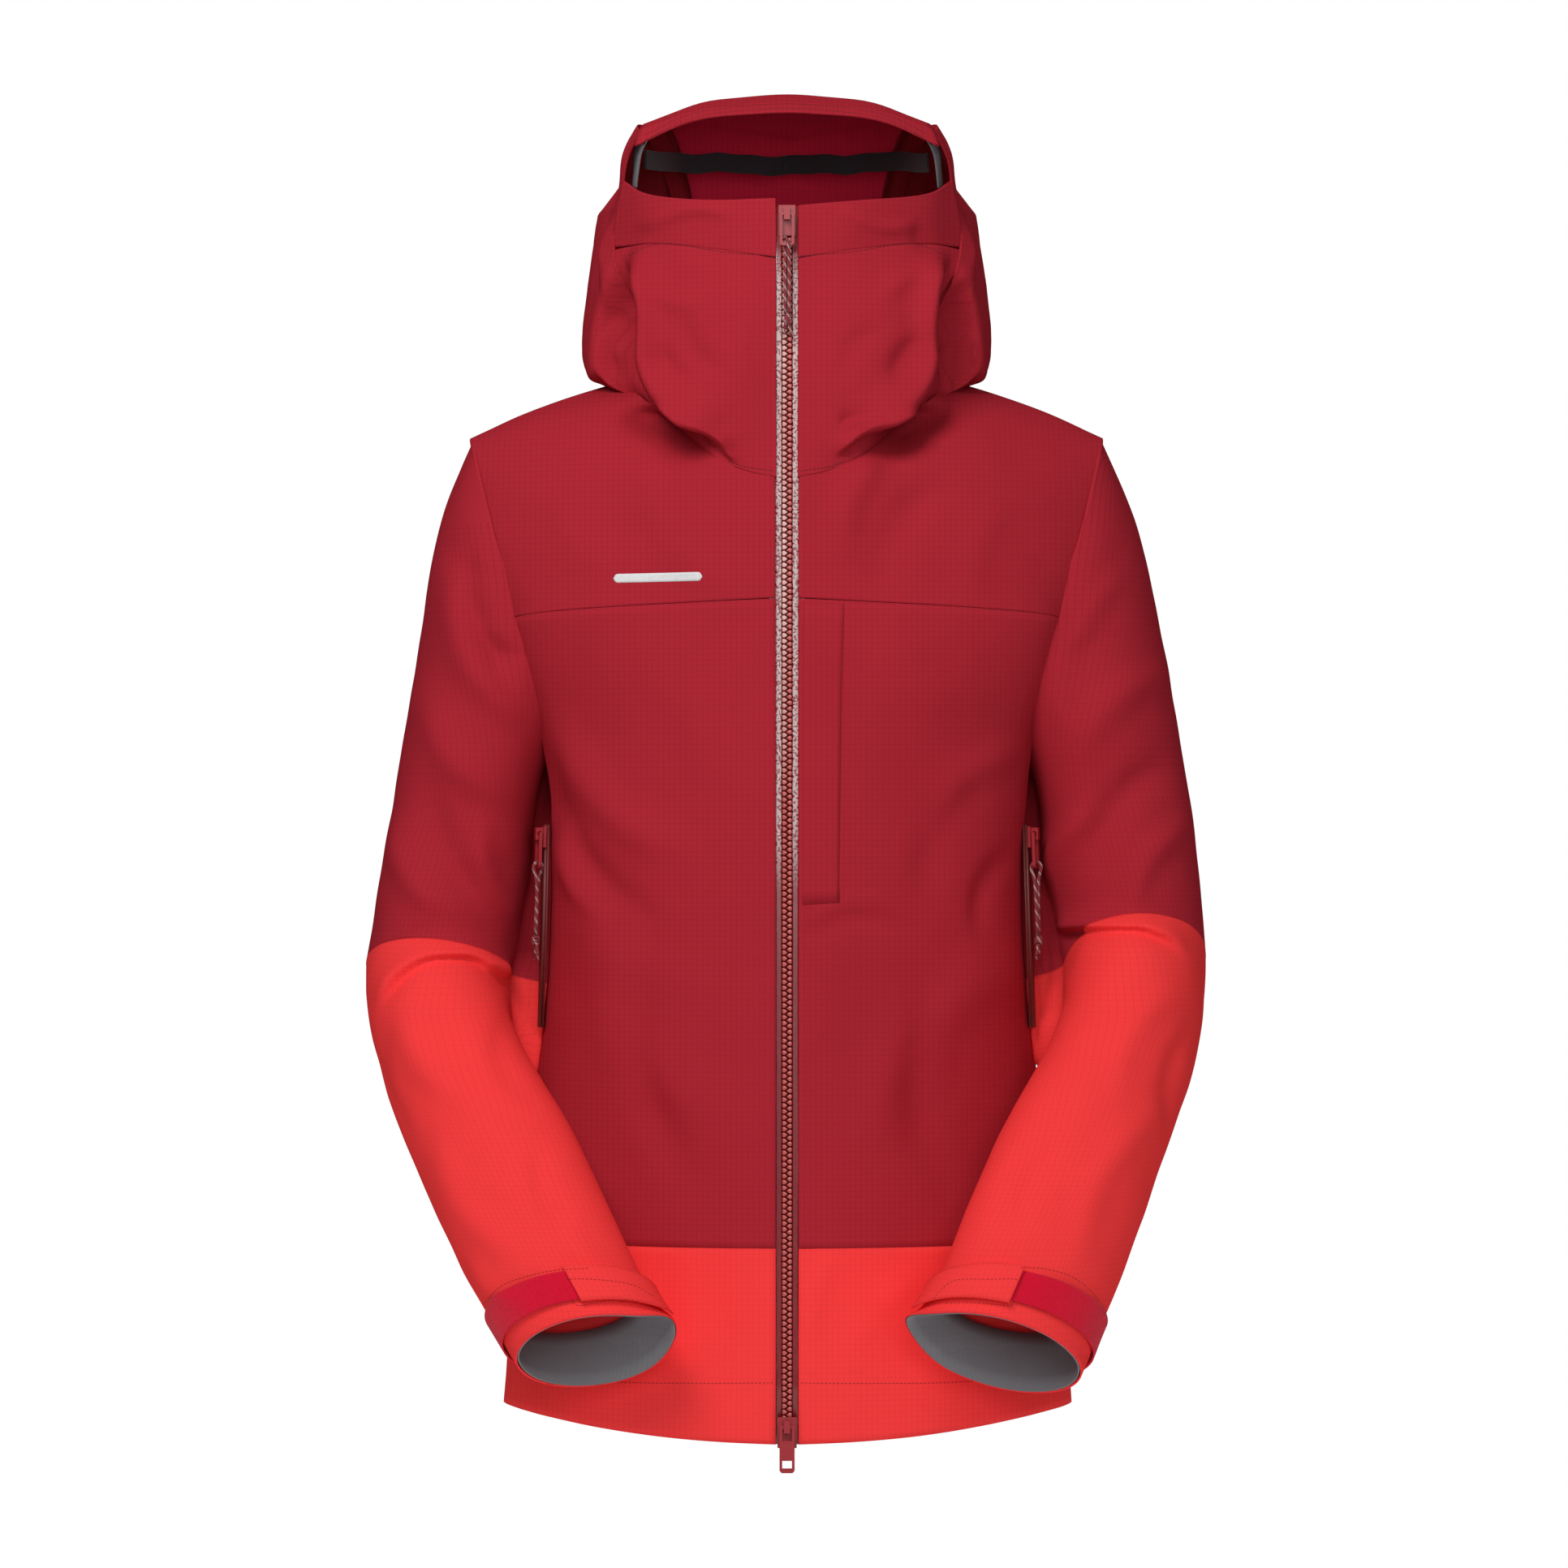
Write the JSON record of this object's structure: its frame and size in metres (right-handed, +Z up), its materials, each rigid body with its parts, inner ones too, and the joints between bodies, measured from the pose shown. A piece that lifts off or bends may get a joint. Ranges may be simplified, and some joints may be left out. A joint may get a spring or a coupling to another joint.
{
  "type": "hardshell jacket",
  "caption": "Hooded waterproof shell jacket with contrast forearms and hem band, two-way front zip, zipped hand pockets and hook-and-loop cuff tabs.",
  "frame": {"origin": "bearing face of the hang loop at the inside of the back of the neck", "axes": "+Z up along the wearer's height, -Y the way the wearer faces, +X the viewer's right when facing the front"},
  "size_m": [0.568, 0.3305, 0.927],
  "materials": {
    "dark_shell": "matte",
    "bright_shell": "matte",
    "grey_lining": "matte",
    "loop_pile": "matte",
    "elastic": "matte",
    "coated_tape": "satin",
    "zip_teeth": "satin",
    "painted_pull": "satin",
    "pull_cord": "matte",
    "webbing": "matte"
  },
  "bodies": {
    "jacket": {"hem_band_right": "bright_shell", "hem_band_left": "bright_shell", "hem_band_back": "bright_shell", "front_panel_right": "dark_shell", "front_panel_left": "dark_shell", "side_panel_right": "dark_shell", "side_panel_left": "dark_shell", "back_panel": "dark_shell", "front_yoke_right": "dark_shell", "front_yoke_left": "dark_shell", "back_yoke": "dark_shell", "collar_panel_right": "dark_shell", "collar_panel_left": "dark_shell", "chin_guard_right": "dark_shell", "chin_guard_left": "dark_shell", "hood_side_right": "dark_shell", "hood_side_left": "dark_shell", "face_facing_right": "grey_lining", "face_facing_left": "grey_lining", "hood_centre_panel": "dark_shell", "hood_lining": "dark_shell", "hood_brim": "dark_shell", "hood_elastic_band": "elastic", "upper_sleeve_left": "dark_shell", "forearm_left": "bright_shell", "cuff_lining_left": "grey_lining", "cuff_loop_strip_left": "loop_pile", "upper_sleeve_right": "dark_shell", "forearm_right": "bright_shell", "cuff_lining_right": "grey_lining", "cuff_loop_strip_right": "loop_pile", "zip_tape_left": "coated_tape", "zip_chain_left": "zip_teeth", "zip_tape_right": "coated_tape", "zip_chain_right": "zip_teeth", "storm_flap": "dark_shell", "pocket_zip_left": "coated_tape", "pocket_zip_right": "coated_tape", "hand_pocket_bag_right": "grey_lining", "hand_pocket_bag_left": "grey_lining", "chest_pocket_bag": "grey_lining", "chest_pocket_placket": "dark_shell", "hang_loop": "webbing"},
    "top_slider": {"top_slider": "painted_pull"},
    "top_pull": {"top_pull": "painted_pull", "top_pull_cord": "pull_cord", "top_pull_knot": "pull_cord"},
    "bottom_slider": {"bottom_slider": "painted_pull"},
    "bottom_pull": {"bottom_pull": "painted_pull"},
    "pocket_left_slider": {"pocket_left_slider": "painted_pull"},
    "pocket_left_pull": {"pocket_left_pull": "painted_pull", "pocket_left_pull_cord": "pull_cord", "pocket_left_pull_knot": "pull_cord"},
    "pocket_right_slider": {"pocket_right_slider": "painted_pull"},
    "pocket_right_pull": {"pocket_right_pull": "painted_pull", "pocket_right_pull_cord": "pull_cord", "pocket_right_pull_knot": "pull_cord"},
    "cuff_tab_left": {"cuff_tab_left": "bright_shell"},
    "cuff_tab_right": {"cuff_tab_right": "bright_shell"}
  },
  "joints": [
    {"name": "top_slider_slide", "type": "slide", "parent": "jacket", "child": "top_slider", "axis": [0, -0.0197, -0.9998], "range_m": [0, 0.45]},
    {"name": "top_pull_hinge", "type": "hinge", "parent": "top_slider", "child": "top_pull", "pos_m": [0, -0.19732, 0.08893], "axis": [-1, 0, 0], "range_deg": [0, 150]},
    {"name": "bottom_slider_slide", "type": "slide", "parent": "jacket", "child": "bottom_slider", "axis": [0, 0.0197, 0.9998], "range_m": [0, 0.25]},
    {"name": "bottom_pull_hinge", "type": "hinge", "parent": "bottom_slider", "child": "bottom_pull", "pos_m": [0, -0.21296, -0.70392], "axis": [-1, 0, 0], "range_deg": [0, 150]},
    {"name": "pocket_left_slide", "type": "slide", "parent": "jacket", "child": "pocket_left_slider", "axis": [-0.0317, 0.0069, -0.9995], "range_m": [0, 0.1]},
    {"name": "pocket_left_pull_hinge", "type": "hinge", "parent": "pocket_left_slider", "child": "pocket_left_pull", "pos_m": [-0.16576, -0.1149, -0.31774], "axis": [-0.342, 0.9396, 0.0173], "range_deg": [0, 3]},
    {"name": "pocket_right_slide", "type": "slide", "parent": "jacket", "child": "pocket_right_slider", "axis": [0.0317, 0.0069, -0.9995], "range_m": [0, 0.1]},
    {"name": "pocket_right_pull_hinge", "type": "hinge", "parent": "pocket_right_slider", "child": "pocket_right_pull", "pos_m": [0.16576, -0.1149, -0.31774], "axis": [-0.342, -0.9396, -0.0173], "range_deg": [0, 3]},
    {"name": "cuff_left_peel", "type": "hinge", "parent": "jacket", "child": "cuff_tab_left", "pos_m": [-0.0802, -0.2463, -0.61896], "axis": [-0.444, 0.3623, 0.8195], "range_deg": [0, 90]},
    {"name": "cuff_right_peel", "type": "hinge", "parent": "jacket", "child": "cuff_tab_right", "pos_m": [0.08653, -0.24839, -0.61494], "axis": [-0.4419, -0.3988, -0.8036], "range_deg": [0, 90]}
  ]
}
